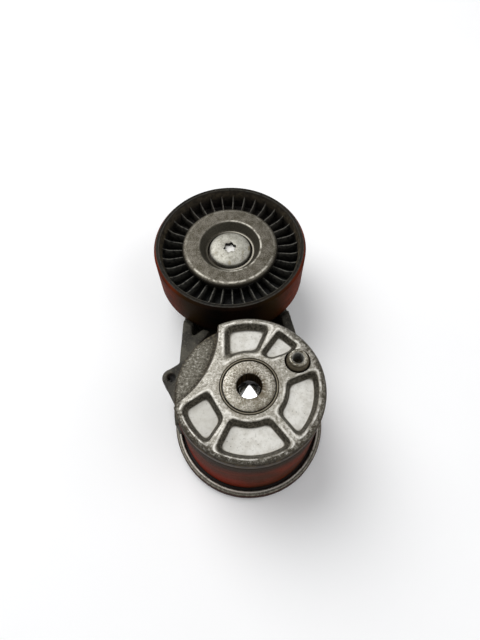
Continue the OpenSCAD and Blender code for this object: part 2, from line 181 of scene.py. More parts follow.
def lathe(profile, centre=(0, 0), count=160):
    """A ring of revolution from a closed profile."""
    angles = directions(count)
    return Shape().rings([ring_at(angles, r, z, centre) for r, z in profile])


# ---------------------------------------------------------------- finishes

def linear(code):
    """Linear colour from a hex sRGB code."""
    channels = [int(code[i:i + 2], 16) / 255 for i in (1, 3, 5)]
    return [c / 12.92 if c <= 0.04045 else ((c + 0.055) / 1.055) ** 2.4 for c in channels] + [1]


class Finish:
    """One material's node tree. Texture places and sizes are in millimetres."""

    def __init__(self, name, metallic=0.0, roughness=0.5, specular=0.5):
        self.name = name
        self.material = bpy.data.materials.new(name)
        self.material.use_nodes = True
        self.tree = self.material.node_tree
        self.shader = self.tree.nodes["Principled BSDF"]
        self.shader.inputs["Metallic"].default_value = metallic
        self.shader.inputs["Roughness"].default_value = roughness
        self.shader.inputs["Specular IOR Level"].default_value = specular
        coords = self.tree.nodes.new("ShaderNodeTexCoord").outputs["Object"]
        self.place = self.node("ShaderNodeVectorMath", [coords, (1 / MM,) * 3],
                               operation="MULTIPLY").outputs[0]

    def node(self, kind, inputs=(), **settings):
        made = self.tree.nodes.new(kind)
        for key, value in settings.items():
            setattr(made, key, value)
        pairs = inputs.items() if isinstance(inputs, dict) else enumerate(inputs)
        for key, value in pairs:
            if isinstance(value, bpy.types.NodeSocket):
                self.tree.links.new(value, made.inputs[key])
            elif value is not None:
                made.inputs[key].default_value = value
        return made

    def math(self, operation, *values):
        return self.node("ShaderNodeMath", values, operation=operation).outputs[0]

    def stretched(self, scale, shift=(0, 0, 0)):
        """The place on the piece, scaled and then shifted."""
        moved = self.node("ShaderNodeVectorMath", [self.place, scale], operation="MULTIPLY")
        return self.node("ShaderNodeVectorMath", [moved.outputs[0], shift],
                         operation="ADD").outputs[0]

    def noise(self, size, detail=4.0, rough=0.55, place=None):
        """Fractal noise whose coarsest grains are about size millimetres."""
        inputs = {"Vector": place or self.place, "Scale": 1 / size, "Detail": detail,
                  "Roughness": rough}
        return self.node("ShaderNodeTexNoise", inputs).outputs["Fac"]

    def cells(self, size):
        """Distance to the nearest of random points, in parts of size."""
        inputs = {"Vector": self.place, "Scale": 1 / size}
        return self.node("ShaderNodeTexVoronoi", inputs).outputs["Distance"]

    def mask(self, value, low, high):
        """0 to 1 as value runs from low to high, smoothed; low may be the larger."""
        inputs = {"Value": value, "From Min": low, "From Max": high}
        return self.node("ShaderNodeMapRange", inputs,
                         interpolation_type="SMOOTHSTEP").outputs["Result"]

    def band(self, value, low, high, soft):
        """1 between low and high, falling to 0 over soft on each side."""
        rise = self.mask(value, low - soft, low + soft)
        return self.math("MULTIPLY", rise, self.mask(value, high + soft, high - soft))

    def mix(self, share, one, two):
        """Colour from one to two, each a hex code or a socket."""
        made = self.node("ShaderNodeMix", {"Factor": share}, data_type="RGBA")
        first, second, result = 6, 7, 2          # the node's colour sockets
        for index, colour in ((first, one), (second, two)):
            if isinstance(colour, str):
                made.inputs[index].default_value = linear(colour)
            else:
                self.tree.links.new(colour, made.inputs[index])
        return made.outputs[result]

    def axis(self, index, place=None):
        """One coordinate, in millimetres."""
        return self.node("ShaderNodeSeparateXYZ", [place or self.place]).outputs[index]

    def distance(self, centre=(0, 0)):
        """Distance from a vertical line, in millimetres."""
        moved = self.stretched((1, 1, 0), (-centre[0], -centre[1], 0))
        return self.node("ShaderNodeVectorMath", [moved], operation="LENGTH").outputs["Value"]

    def facing(self, index=2):
        """One axis of the surface's own normal, in the piece's space."""
        normal = self.node("ShaderNodeTexCoord").outputs["Normal"]
        return self.node("ShaderNodeSeparateXYZ", [normal]).outputs[index]

    def mark(self):
        """The number that a Shape stores at each point."""
        return self.node("ShaderNodeAttribute", attribute_name="mark").outputs["Fac"]

    def colour(self, socket):
        self.tree.links.new(socket, self.shader.inputs["Base Color"])
        return self

    def vary(self, name, value, low, high):
        """Runs a shader input between low and high with value."""
        made = self.node("ShaderNodeMapRange", {"Value": value, "To Min": low, "To Max": high})
        self.tree.links.new(made.outputs["Result"], self.shader.inputs[name])
        return self

    def relief(self, *layers):
        """Bump from (height 0 to 1, depth in millimetres) layers."""
        normal = None
        for height, depth in layers:
            made = self.node("ShaderNodeBump", {"Height": height, "Distance": depth * MM,
                                                "Normal": normal})
            normal = made.outputs[0]
        self.tree.links.new(normal, self.shader.inputs["Normal"])
        return self


def plate_casting():
    """Worn casting of the front plate, with painted highlights along its pocket edges and painted shade on its
    walls and slopes. Its mark is the distance outside the nearest pocket.
    """
    f = Finish("plate_casting", metallic=0.7, roughness=0.42)
    broad, fine, pits = f.noise(9, 3), f.noise(0.8, 5, 0.8), f.cells(1.7)
    ragged = f.math("MULTIPLY_ADD", f.noise(1.0, 4, 0.65), 0.7, -0.35)
    away = f.math("ADD", f.mark(), ragged)
    up, reach, height = f.facing(), f.distance(), f.axis(2)
    # speckled face, stained at the hub, dirty at the rim, and the rim's near side darkened further as painted
    # shade
    face = f.mix(f.mask(broad, 0.35, 0.65), "#989489", "#b0aca2")
    face = f.mix(f.mask(fine, 0.5, 0.6), face, "#6a655a")
    face = f.mix(f.mask(fine, 0.45, 0.38), face, "#dad7cf")
    scuffs = f.math("MULTIPLY", f.mask(f.noise(4.5, 5, 0.7), 0.52, 0.66), 0.5)
    face = f.mix(scuffs, face, "#7d786c")
    stain = f.math("MULTIPLY", f.mask(reach, SEAT + 3.5, SEAT), f.mask(f.noise(5), 0.42, 0.6))
    face = f.mix(f.math("MULTIPLY", stain, 0.5), face, "#6b6352")
    grime = f.mask(f.noise(1.3, 5, 0.75), 0.34, 0.56)
    rim = f.math("MULTIPLY", f.mask(reach, PLATE - 4.5, PLATE - 2.1), grime)
    # the rim darkens more on its near side as painted shade, and on its right side as dirt
    dirty_and_shaded_side = f.math("MAXIMUM", f.mask(f.axis(1), 14, -6), f.mask(f.axis(0), 12, 22))
    rim = f.math("MULTIPLY", rim, f.math("MULTIPLY_ADD", dirty_and_shaded_side, 0.65, 0.3))
    face = f.mix(rim, face, "#3b3529")
    # pockets: bright edges that are painted highlight with some wear, walls darkened as painted shade and most
    # where they face -Y, pale beds
    # painted highlight: a bright band just outside each pocket's outline, on the rounded edge
    wear_and_highlight = f.math("MULTIPLY", f.band(away, 0.6, 1.2, 0.3), f.mask(f.noise(3.5, 3), 0.34, 0.6))
    face = f.mix(f.math("MULTIPLY", wear_and_highlight, 0.85), face, "#dedbd3")
    # painted shade: the walls are darker than the face, and darker still where they face -Y
    wall = f.mix(f.mask(f.noise(0.9, 4), 0.35, 0.65), "#6e685b", "#9c9688")
    wall = f.mix(f.mask(f.facing(1), 0.1, -0.5), wall, "#4d473b")
    face = f.mix(f.mask(away, 0.35, -0.15), face, wall)
    low = f.mask(away, -0.9, -2.1)
    bed = f.mix(f.mask(f.noise(3, 4), 0.4, 0.68), "#d9d7d0", "#c6c3ba")
    bed = f.mix(f.math("MULTIPLY", f.mask(f.noise(0.7, 4), 0.56, 0.7), 0.5), bed, "#97938a")
    bed = f.mix(f.math("MULTIPLY", f.mask(f.axis(0), 2, -12), 0.45), bed, "#a9a69c")
    face = f.mix(low, face, bed)
    # slopes darkened as painted shade; darker scooped edge and pits
    side = f.mix(f.mask(f.noise(1.0, 4, 0.7), 0.35, 0.7), "#2c2820", "#6a6559")
    face = f.mix(f.mask(up, 0.93, 0.6), face, side)
    face = f.mix(f.mask(f.distance(SCOOP), SCOOP_RADIUS + 1.0, SCOOP_RADIUS + 0.3), face, "#3b3428")
    spots = f.math("MULTIPLY", f.mask(pits, 0.13, 0.08), f.mask(f.noise(6), 0.5, 0.58))
    face = f.mix(f.math("MULTIPLY", spots, 0.85), face, "#3a352b")
    # brown outer wall, and the threaded sleeve's well
    outer_edge = f.mask(f.mark(), NO_POCKET - 5, NO_POCKET - 3)
    upright = f.math("MULTIPLY", f.mask(up, 0.8, 0.4), outer_edge)
    face = f.mix(upright, face, f.mix(f.mask(f.noise(2), 0.4, 0.6), "#2a2217", "#463a28"))
    sunk = f.mask(height, PLATE_TOP - 0.4, PLATE_TOP - 1.2)
    well = f.math("MULTIPLY", f.mask(f.distance(SLEEVE), WELL + 0.25, WELL - 0.15), sunk)
    face = f.mix(well, face, f.mix(f.mask(f.noise(0.8), 0.4, 0.6), "#4a4132", "#857b66"))
    f.colour(face)
    f.vary("Metallic", f.math("MAXIMUM", low, upright), 0.7, 0.1)
    f.vary("Specular IOR Level", upright, 0.5, 0.08)
    f.vary("Roughness", fine, 0.4, 0.66)
    return f.relief((fine, 0.07), (f.noise(0.22, 3), 0.02))


def arm_casting():
    """Dark casting with a sandy ledge and a red-brown drum wall, whose red is partly a painted reflection of a red
    surface and whose top and foot are darkened as painted shade.
    """
    f = Finish("arm_casting", metallic=0.35, roughness=0.6, specular=0.35)
    reach, height, up = f.distance(), f.axis(2), f.facing()
    grain, broad = f.noise(1.1, 5, 0.65), f.noise(8, 3)
    base = f.mix(f.mask(broad, 0.35, 0.65), "#2b2923", "#4d4a41")
    base = f.mix(f.mask(grain, 0.5, 0.75), base, "#625e52")
    # sandy ledge on the drum's roof, brown along both edges and at its far end
    sand = f.noise(1.1, 5, 0.72)
    ledge = f.mix(f.mask(sand, 0.34, 0.56), "#443f34", "#757165")
    ledge = f.mix(f.math("MULTIPLY", f.mask(sand, 0.54, 0.66), 0.75), ledge, "#cbc8bf")
    ends = f.math("MAXIMUM", f.mask(f.distance(SCOOP), SCOOP_RADIUS - 4.5, SCOOP_RADIUS - 0.8),
                  f.mask(reach, DRUM - 2.6, DRUM))
    ends = f.math("MAXIMUM", ends, f.mask(f.axis(1), 19, 26))
    brown = f.mix(f.mask(sand, 0.42, 0.64), "#1f1a10", "#5a513e")
    ledge = f.mix(f.math("MULTIPLY", ends, 0.95), ledge, brown)
    on_ledge = f.math("MULTIPLY", f.mask(height, ROOF - 1.2, ROOF - 0.4), f.mask(up, 0.3, 0.8))
    # red-brown, streaked wall of the drum, its red partly a painted reflection of a red surface: redder at its
    # lower left as painted reflection, darker at top and foot as painted shade
    streaks = f.noise(1, 4, 0.6, f.stretched((0.12, 0.12, 1.3)))
    wall = f.mix(f.mask(streaks, 0.32, 0.68), "#471a0b", "#6f2a14")
    wall = f.mix(f.math("MULTIPLY", f.mask(f.noise(17, 3), 0.34, 0.64), 0.8), wall, "#3d2313")
    # painted reflection: extra red at the wall's lower left
    red = f.math("MULTIPLY", f.mask(f.axis(0), 4, -14), f.mask(height, 30, 14))
    wall = f.mix(f.math("MULTIPLY", red, f.mask(streaks, 0.3, 0.6)), wall, "#7a2311")
    # painted shade: darker towards the top under the plate, and towards the foot beside the base's lip
    wall = f.mix(f.mask(height, 30, 45), wall, "#2b2117")
    wall = f.mix(f.mask(height, 6.5, 4), wall, "#20100a")
    on_wall = f.math("MULTIPLY", f.band(reach, DRUM - 1.3, DRUM + 1.4, 0.3), f.mask(up, 0.9, 0.7))
    base = f.mix(on_wall, base, wall)
    base = f.mix(on_ledge, base, ledge)
    f.colour(base)
    f.vary("Metallic", on_wall, 0.35, 0.0)
    f.vary("Specular IOR Level", on_wall, 0.35, 0.03)
    f.vary("Roughness", grain, 0.45, 0.75)
    sandy = f.math("MULTIPLY", sand, on_ledge)
    return f.relief((grain, 0.2), (f.noise(0.4, 4), 0.05), (sandy, 0.07))


def base_casting():
    """Grey lip with a bright inner edge that is wear with painted highlight, a red-brown side whose red is partly
    a painted reflection of a red surface, and painted shade inside the lip.
    """
    f = Finish("base_casting", metallic=0.5, roughness=0.5)
    reach, height, up = f.distance(), f.axis(2), f.facing()
    grain = f.noise(1.2, 5, 0.7)
    face = f.mix(f.mask(grain, 0.38, 0.62), "#5a564c", "#938e81")
    crown = f.mask(height, LIP_TOP - 1.0, LIP_TOP - 0.1)
    # wear and painted highlight: a bright, broken band along the crown of the lip's inner edge
    wear_and_highlight = f.math("MULTIPLY", f.band(reach, LIP + 0.6, LIP + 1.1, 0.2), crown)
    face = f.mix(f.math("MULTIPLY", wear_and_highlight, f.mask(f.noise(3), 0.28, 0.5)), face, "#dedad0")
    face = f.mix(f.band(reach, DISH - 1.3, DISH - 1.1, 0.15), face, "#2f2b23")
    # the red-brown side: its red partly a painted reflection of a red surface
    side = f.mix(f.mask(f.noise(6, 3), 0.35, 0.65), "#2f140c", "#38221a")
    on_side = f.math("MULTIPLY", f.mask(reach, DISH - 1.2, DISH - 0.7), f.mask(up, 0.95, 0.65))
    face = f.mix(on_side, face, side)
    # painted shade: near-black inside the lip, in the gap to the drum
    face = f.mix(f.mask(reach, LIP + 0.4, LIP + 0.1), face, "#1a100b")
    f.colour(face)
    f.vary("Metallic", on_side, 0.5, 0.0)
    f.vary("Specular IOR Level", on_side, 0.5, 0.05)
    f.vary("Roughness", grain, 0.4, 0.66)
    return f.relief((grain, 0.12), (f.noise(0.4, 3), 0.03))


def machined_steel():
    """Pivot tube and swage ring: a spotted steel face round a bore painted dark as shade."""
    f = Finish("machined_steel", metallic=0.75, roughness=0.42)
    reach, height, up = f.distance(), f.axis(2), f.facing()
    blots, fine = f.noise(2.2, 5, 0.65), f.noise(0.7, 5, 0.8)
    face = f.mix(f.mask(blots, 0.4, 0.62), "#a8a499", "#857f72")
    face = f.mix(f.mask(fine, 0.5, 0.6), face, "#4f4839")
    face = f.mix(f.mask(fine, 0.44, 0.37), face, "#e0dcd2")
    # brown streaks running out from the bore, dirt held at the outer edge, duller swage ring
    outward = f.node("ShaderNodeVectorMath", [f.stretched((1, 1, 0))], operation="NORMALIZE")
    rays = f.node("ShaderNodeVectorMath", [outward.outputs[0], (7, 7, 7)], operation="MULTIPLY")
    streaks = f.noise(1, 4, 0.7, rays.outputs[0])
    wear_and_highlight = f.math("MULTIPLY", f.mask(reach, BORE + 3.35, BORE + 0.55), f.mask(streaks, 0.4, 0.55))
    wear_and_highlight = f.math("MULTIPLY", wear_and_highlight, f.math("MULTIPLY_ADD", f.mask(f.axis(0), -3, 4), 0.45, 0.5))
    face = f.mix(wear_and_highlight, face, "#463b29")
    dull = f.math("MULTIPLY", f.mask(f.axis(1), 0, -8), f.mask(blots, 0.34, 0.6))
    face = f.mix(f.math("MULTIPLY", dull, 0.6), face, "#6e6858")
    edge = f.math("MULTIPLY", f.mask(reach, FLANGE - 2.0, FLANGE - 0.4), f.mask(f.axis(0), -5, 6))
    edge = f.math("MULTIPLY", edge, f.mask(f.noise(1.5), 0.3, 0.6))
    face = f.mix(f.math("MULTIPLY", edge, 0.8), face, "#4d4434")
    face = f.mix(f.mask(reach, FLANGE + 0.05, FLANGE + 0.3), face, "#6d6657")
    # the bore, painted dark as shade: a rough brown mouth, part dirt, above a near-black polished wall
    bore = f.math("MULTIPLY", f.mask(up, 0.5, 0.1), f.mask(reach, BORE + 0.35, BORE + 0.1))
    deep = f.mask(height, PLATE_TOP - 8.0, PLATE_TOP - 9.6)
    mouth = f.mix(f.mask(streaks, 0.38, 0.62), "#120d07", "#3a2e1e")
    face = f.mix(bore, face, f.mix(deep, mouth, "#080604"))
    f.colour(face)
    f.vary("Metallic", bore, 0.75, 0.0)
    polished = f.math("MULTIPLY", bore, deep)
    gloss = f.math("MULTIPLY_ADD", polished, 0.02, f.math("SUBTRACT", 1, bore))
    f.vary("Specular IOR Level", gloss, 0.0, 0.5)
    f.vary("Roughness", polished, 0.42, 0.04)
    flat = f.mask(up, 0.4, 0.8)
    return f.relief((f.math("MULTIPLY", blots, flat), 0.03), (f.math("MULTIPLY", fine, flat), 0.08))


def turned(name, light, dark, roughness):
    """Turned metal with fine rings, blotches and darker dirt."""
    f = Finish(name, metallic=0.9, roughness=roughness)
    blots = f.noise(2.2, 5, 0.6)
    face = f.mix(f.mask(blots, 0.35, 0.65), light, dark)
    rings = f.noise(0.18, 2, 0.5, f.stretched((0.02, 0.02, 1)))
    f.colour(f.mix(f.mask(f.noise(0.6, 4), 0.58, 0.75), face, dark))
    f.vary("Roughness", blots, roughness * 0.8, roughness * 1.3)
    return f.relief((rings, 0.01), (blots, 0.02))


def pressed_steel():
    """Dust cap: dull speckled steel, rubbed bright along its ridges and lip with painted highlight, and painted
    shade on its slope, well and outer edge.
    """
    f = Finish("pressed_steel", metallic=0.7, roughness=0.46)
    reach, height = f.distance(PULLEY), f.axis(2)
    blots, fine = f.noise(3.2, 5, 0.65), f.noise(0.45, 5, 0.75)
    face = f.mix(f.mask(blots, 0.38, 0.62), "#69645a", "#4c473b")
    face = f.mix(f.mask(fine, 0.5, 0.62), face, "#2f2b21")
    face = f.mix(f.mask(fine, 0.42, 0.36), face, "#8b867a")
    # rubbed ridges with painted highlight, brighter towards the drum and the right where they face the light
    near = f.math("MULTIPLY_ADD", f.mask(f.axis(1), PULLEY[1] - 5, PULLEY[1] - 16), 0.8, 0.2)
    right = f.math("MULTIPLY_ADD", f.mask(f.axis(0), PULLEY[0] - 7, PULLEY[0] + 4), 0.8, 0.15)
    outer = f.math("MULTIPLY", f.band(reach, CAP - 2.3, CAP - 1.5, 0.5), near)
    inner = f.math("MULTIPLY", f.band(reach, CAP_RECESS, CAP_RECESS + 0.7, 0.35), right)
    rubbed_ridge_and_highlight = f.math("MAXIMUM", outer, inner)
    patches, flecks = f.mask(f.noise(4, 3), 0.36, 0.56), f.mask(f.noise(0.9, 4), 0.3, 0.5)
    scuffs = f.math("MULTIPLY", patches, flecks)
    face = f.mix(f.math("MULTIPLY", rubbed_ridge_and_highlight, scuffs), face, "#c4c0b4")
    # painted shade: a dark band round the rounded outer edge
    face = f.mix(f.mask(reach, CAP - 1.1, CAP - 0.2), face, "#2f2b23")
    # slope darkened as painted shade, lip lit on its right as painted light, and well darkened as painted shade
    slope = f.mix(f.mask(fine, 0.4, 0.66), "#454136", "#2b2820")
    face = f.mix(f.band(reach, CAP_WELL + 1.3, CAP_RECESS - 0.3, 0.3), face, slope)
    lip = f.band(reach, CAP_WELL + 0.15, CAP_WELL + 0.95, 0.12)
    lip = f.math("MULTIPLY", lip, f.mask(height, 38.9, 39.2))
    lit_side = f.mask(f.axis(0), PULLEY[0] - 8, PULLEY[0] + 5)
    face = f.mix(lip, face, f.mix(lit_side, "#3a362c", "#a8a396"))
    face = f.mix(f.mask(reach, CAP_WELL + 0.1, CAP_WELL - 0.05), face, "#332e25")
    f.colour(face)
    f.vary("Roughness", fine, 0.42, 0.64)
    return f.relief((blots, 0.05), (fine, 0.1))


def bolt_steel():
    """Pulley bolt. Its mark is 1 on the drive's wall, painted dark as shade, and below 0 on the drive's floor,
    painted near-white as a glint.
    """
    f = Finish("bolt_steel", metallic=0.6, roughness=0.5)
    blots, fine, mark = f.noise(2.4, 5, 0.6), f.noise(0.6, 5, 0.8), f.mark()
    face = f.mix(f.mask(blots, 0.42, 0.64), "#b3b1a6", "#98958a")
    face = f.mix(f.mask(fine, 0.52, 0.66), face, "#726e62")
    rust_and_red_reflection = f.math("MULTIPLY", f.mask(f.noise(3.3), 0.6, 0.68), 0.6)
    face = f.mix(rust_and_red_reflection, face, "#7d7251")
    pits = f.math("MULTIPLY", f.mask(f.cells(1.5), 0.16, 0.1), f.mask(blots, 0.45, 0.55))
    face = f.mix(pits, face, "#4a463a")
    # painted shade: the drive's walls near-black
    face = f.mix(f.mask(mark, 0.3, 0.8), face, "#1c1912")
    # painted glint: the drive's floor near-white and non-metal
    drive_floor_glint = f.mask(mark, -0.2, -0.7)
    f.colour(f.mix(drive_floor_glint, face, "#f4f2ec"))
    f.vary("Metallic", drive_floor_glint, 0.6, 0.0)
    f.vary("Roughness", blots, 0.44, 0.62)
    return f.relief((fine, 0.06))


def sleeve_steel():
    """Threaded sleeve: bright top, darker towards the foot, grey thread lightened as painted light inside the
    hole.
    """
    f = Finish("sleeve_steel", metallic=0.75, roughness=0.4)
    height, blots, reach = f.axis(2), f.noise(1.6, 5, 0.6), f.distance(SLEEVE)
    fine = f.noise(0.6, 4, 0.7)
    face = f.mix(f.mask(blots, 0.4, 0.6), "#aaa598", "#706a5a")
    face = f.mix(f.mask(fine, 0.44, 0.34), face, "#e0ddd4")
    # darker towards the foot
    face = f.mix(f.mask(height, SLEEVE_TOP - 0.5, SLEEVE_TOP - 1.3), face, "#6f6756")
    face = f.mix(f.mask(height, SLEEVE_TOP - 2.3, SLEEVE_TOP - 3.5), face, "#4b4232")
    face = f.mix(f.mask(fine, 0.54, 0.66), face, "#3b3427")
    # painted light: the threaded bore is grey and less metallic, so the hole reads lit
    bore = f.mask(reach, SLEEVE_BORE + 0.65, SLEEVE_BORE + 0.35)
    f.colour(f.mix(bore, face, f.mix(f.mask(fine, 0.4, 0.6), "#7b7a73", "#504e47")))
    f.vary("Metallic", bore, 0.75, 0.2)
    f.vary("Roughness", blots, 0.36, 0.56)
    return f.relief((blots, 0.06), (fine, 0.06))


def pulley_polymer():
    """Black moulding whose belt face is painted dark as shade in its middle and red as a painted reflection of a
    red surface to both sides. Its mark is the wear on the ribs and the rim.
    """
    f = Finish("pulley_polymer", metallic=0.0, roughness=0.45, specular=0.35)
    reach, mark = f.distance(PULLEY), f.mark()
    grain, broad = f.noise(0.9, 4), f.noise(10, 3)
    face = f.mix(f.mask(grain, 0.4, 0.7), "#080807", "#161513")
    face = f.mix(f.math("MULTIPLY", mark, f.mask(f.noise(1.6, 4), 0.3, 0.6)), face, "#57554e")
    # inner wall above the ribs, and worn rim
    above_ribs = f.mask(f.axis(2), 39, 42)
    inner_wall = f.math("MULTIPLY", f.band(reach, RIM - 1.0, RIM - 0.05, 0.15), above_ribs)
    face = f.mix(inner_wall, face, f.mix(f.mask(f.noise(2.2, 4), 0.35, 0.65), "#4b4334", "#27221a"))
    on_rim = f.mask(reach, RIM - 0.1, RIM + 0.1)
    wear_and_highlight = f.math("MULTIPLY", on_rim, f.mask(f.noise(3, 4), 0.3, 0.6))
    face = f.mix(f.math("MULTIPLY", wear_and_highlight, 0.7), face, "#2b261e")
    sloping = f.mask(f.facing(), 0.97, 0.85)
    chamfer = f.math("MULTIPLY", f.mask(reach, BELT - 1.3, BELT - 0.9), sloping)
    # dust between the ribs on the far side
    far = f.math("SUBTRACT", f.mask(f.axis(1), PULLEY[1] + 4, PULLEY[1] + 26), on_rim)
    dust = f.math("MULTIPLY", f.math("MAXIMUM", far, 0), f.mask(grain, 0.3, 0.6))
    face = f.mix(f.math("MULTIPLY", dust, 0.5), face, "#38312a")
    # belt face and its chamfer: painted shade in the middle, a streaked painted reflection of a red surface to
    # both sides
    streaks = f.noise(1, 4, 0.6, f.stretched((0.1, 0.1, 1.6)))
    aside = f.math("ABSOLUTE", f.axis(0, f.stretched((1, 1, 1), (-PULLEY[0], 0, 0))))
    rust_and_red_reflection = f.mix(f.mask(streaks, 0.32, 0.68), "#481a0b", "#702b14")
    # painted shade: dark in the middle, the shadow between the pulley and the drum
    belt = f.mix(f.mask(aside, 8, 22), "#0c0906", "#2a1c09")
    # painted reflection: red growing towards both sides
    belt = f.mix(f.mask(aside, 20, 33), belt, rust_and_red_reflection)
    belt = f.mix(f.math("MULTIPLY", f.mask(broad, 0.38, 0.66), 0.5), belt, "#24150d")
    on_belt = f.math("MAXIMUM", f.mask(reach, BELT - 0.5, BELT - 0.1), chamfer)
    face = f.mix(on_belt, face, belt)
    f.colour(face)
    f.vary("Specular IOR Level", f.math("MAXIMUM", on_belt, f.math("MULTIPLY", on_rim, 0.6)),
           0.3, 0.02)
    f.vary("Roughness", grain, 0.45, 0.7)
    return f.relief((grain, 0.03))


def moulded(name, light, dark, roughness):
    """Plain moulded plastic or rubber."""
    f = Finish(name, roughness=roughness)
    grain = f.noise(0.8, 4)
    f.colour(f.mix(f.mask(grain, 0.35, 0.7), dark, light))
    f.vary("Roughness", f.noise(3), roughness * 0.85, roughness * 1.2)
    return f.relief((grain, 0.03))


FINISHES = {f.name: f.material for f in (
    plate_casting(),
    arm_casting(),
    base_casting(),
    machined_steel(),
    sleeve_steel(),
    turned("spring_steel", "#4a4b4e", "#2c2c2e", 0.45),
    turned("bearing_steel", "#d6d6d8", "#b0b0b4", 0.16),
    pressed_steel(),
    bolt_steel(),
    pulley_polymer(),
    moulded("bushing_polymer", "#cfc8ae", "#b0a88c", 0.45),
    moulded("dark_polymer", "#2a2a2a", "#171717", 0.5),
    moulded("seal_rubber", "#1a1a1a", "#0e0e0e", 0.65),
)}


# ---------------------------------------------------------------- front plate

def smooth_max(one, two, blend):
    """The larger of two distances, rounded where they meet."""
    overlap = np.maximum(blend - np.abs(one - two), 0) / blend
    return np.maximum(one, two) + overlap ** 2 * blend / 4


def beyond(x, y, start, end):
    """Distance to the right of the line from start to end."""
    along = np.array(end, float) - start
    along /= np.linalg.norm(along)
    return (x - start[0]) * along[1] - (y - start[1]) * along[0]


def pocket(x, y, arcs, lines, blend=2.6):
    """Signed distance, negative inside, of a pocket between arcs and left of its lines."""
    reach = np.hypot(x, y)
    inner, outer = arcs
    d = smooth_max(inner - reach, reach - outer, blend)
    for start, end in lines:
        d = smooth_max(d, beyond(x, y, start, end), blend)
    return d


def pockets(x, y):
    """Signed distance to the nearest of the five pockets."""
    top = [(4.2, 14.5), (9.6, 26.3)], [(-9.6, 26), (-9.4, 13)]
    right = [(11.0, -11.4), (17.4, -19.8)], [(25.4, 5.4), (14.6, 1.4)]
    bottom = [(-8.3, -14.2), (-13.8, -25)], [(15.2, -23), (7.6, -13.2)]
    left = (
        [(-16.2, -1.4), (-28, -8.9)], [(-16.8, -22.8), (-10, -12.8)],
        [(-10, -13.2), (-16.8, -1.4)],
    )
    small = (
        [(13.2, 24), (6.0, 14.4)], [(6.2, 14.0), (9.2, 11.8)], [(9, 11.9), (17.4, 14.6)],
        [(20.6, 17.2), (13.2, 24.2)], [(17, 13.8), (20.9, 18)],
    )
    gentle, wider = 0.75, 0.45                # a less steep wall; millimetres added all round
    shapes = (
        pocket(x, y, (14.8, 28), top) * gentle,
        pocket(x, y, (15, 27.8), right),
        pocket(x, y, (15, 28.4), bottom),
        pocket(x, y, (14, 28.3), left),
        pocket(x, y, (10, 29), small, blend=1.8) - wider,
    )
    return np.minimum.reduce(shapes)


def scooped_outline(angles, radius):
    """Distance from the axis to the plate's edge in each direction, corners rounded."""
    blend, beyond_plate = 2.4, 60.0
    along = np.cos(angles) * SCOOP[0] + np.sin(angles) * SCOOP[1]
    gap = along ** 2 - (SCOOP[0] ** 2 + SCOOP[1] ** 2 - SCOOP_RADIUS ** 2)
    hit = (along > 0) & (gap > 0)
    scoop = np.where(hit, along - np.sqrt(np.maximum(gap, 0)), beyond_plate)
    return -smooth_max(np.full_like(scoop, -radius), -scoop, blend)


def front_plate():
    """Plate with a scooped, rounded edge, five pockets and the threaded sleeve's well."""
    low, high = span("front_plate")
    top, bottom, radius = high[2], low[2], high[0]
    hub, seat_depth, seat_edge = 9.0, 3.2, 0.25
    # a pocket's wall runs from crest outside its outline to foot inside it
    depth, crest, foot = 3.2, 0.5, 1.8
    well_slope, well_depth = 0.5, 3.0
    edge, edge_steps, back_edge = 2.0, 6, 0.4
    steps = 84
    angles = directions(900)
    outline = scooped_outline(angles, radius)
    rings, marks = [], []

    def put(reach, z, mark=NO_POCKET):
        rings.append(ring_at(angles, reach, z))
        marks.append(np.broadcast_to(mark, angles.shape))

    put(hub, bottom)
    put(hub, top - seat_depth)
    put(SEAT, top - seat_depth)
    put(SEAT, top - seat_edge)
    for k in range(steps + 1):
        reach = SEAT + seat_edge + k / steps * (outline - edge - SEAT - seat_edge)
        x, y = reach * np.cos(angles), reach * np.sin(angles)
        away = pockets(x, y)
        inside = np.clip((crest - away) / (crest + foot), 0, 1)
        sunk = inside ** 2 * (3 - 2 * inside) * depth
        within = WELL - np.hypot(x - SLEEVE[0], y - SLEEVE[1])
        well = np.clip(within / well_slope, 0, 1) * well_depth
        put(reach, top - np.maximum(sunk, well), away)
    for k in range(1, edge_steps + 1):
        a = k / edge_steps * math.pi / 2
        put(outline - edge + edge * math.sin(a), top - edge + edge * math.cos(a))
    put(outline, (top + bottom) / 2)
    put(outline, bottom + back_edge)
    put(outline - back_edge, bottom)
    shape = Shape().rings(rings, marks)
    return shape.build("front_plate_casting", "base", "plate_casting", "front_plate", sharp=60)


# ---------------------------------------------------------------- arm

def cast_copy(node, name, body, voxel, smooth, keep):
    """The CAD casting with the fillets and softened edges that a die leaves."""
    obj = bpy.data.objects.new(name, frame["nodes"][node].data.copy())
    bpy.context.scene.collection.objects.link(obj)
    dress(obj, body, SLOTS[node], node, sharp=180)
    remesh = obj.modifiers.new("skin", "REMESH")
    remesh.mode = "VOXEL"
    remesh.voxel_size = voxel * MM
    remesh.use_smooth_shade = True
    soften = obj.modifiers.new("soften", "SMOOTH")
    soften.factor = 0.5
    soften.iterations = smooth
    thin = obj.modifiers.new("thin", "DECIMATE")
    thin.ratio = keep
    return obj


# ---------------------------------------------------------------- pivot

def pivot_tube():
    """Hollow tube with a flanged front end and a wider recess at its foot."""
    high = span("pivot_tube")[1]
    top, flange = high[2], high[0]
    tube, flange_depth = 9.0, 3.2
    recess, recess_top, slope = 7.2, 12.0, 0.2
    profile = rounded([
        (BORE, recess_top + slope, 0.3), (BORE, top - 0.3, 0.1), (BORE + 0.3, top, 0.1),
        (flange, top, 0.35), (flange, top - flange_depth), (tube, top - flange_depth),
        (tube, 0, 0.3), (recess, 0, 0.3), (recess, recess_top, 0.2),
    ])
    return lathe(profile).build("pivot_tube_turned", "base", "machined_steel", "pivot_tube")


